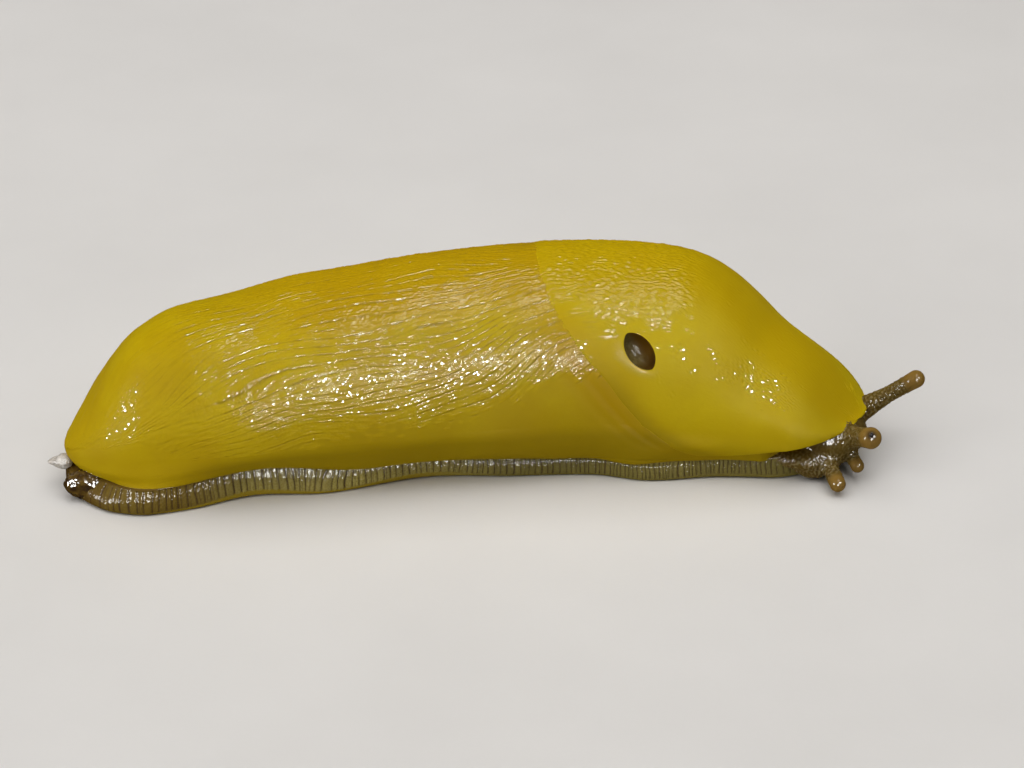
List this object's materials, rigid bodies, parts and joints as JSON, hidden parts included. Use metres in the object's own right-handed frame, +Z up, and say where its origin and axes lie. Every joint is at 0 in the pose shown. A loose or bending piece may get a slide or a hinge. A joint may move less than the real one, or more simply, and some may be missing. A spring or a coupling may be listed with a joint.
{
  "type": "banana slug model",
  "caption": "Life-size still model of a banana slug at rest, with mantle, breathing pore, ribbed foot skirt and feelers.",
  "frame": {"origin": "middle of the bounding box in plan, on the floor plane that the sole rests on", "axes": "+X from the tail towards the head, +Y to the animal's left, +Z up"},
  "size_m": [0.1094, 0.0326, 0.0263],
  "materials": {
    "skin_yellow": "wet wrinkled skin, ochre yellow",
    "mantle_yellow": "wet fine-grained skin, lemon ochre",
    "skirt_grey": "wet ribbed skirt, olive grey with dark lines, pale sole",
    "head_brown": "wet grained skin, translucent grey brown",
    "eye_black": "glossy black",
    "slime_white": "wet off-white slime"
  },
  "bodies": {
    "root": {"tail": "skin_yellow", "back": "skin_yellow", "fore_body": "skin_yellow", "mantle": "mantle_yellow", "foot_rear": "skirt_grey", "foot_mid": "skirt_grey", "foot_front": "skirt_grey", "head": "head_brown", "tentacle_upper_right": "head_brown", "tentacle_upper_left": "head_brown", "tentacle_lower_right": "head_brown", "tentacle_lower_left": "head_brown", "eye_right": "eye_black", "eye_left": "eye_black", "slime_plug": "slime_white"}
  },
  "joints": []
}
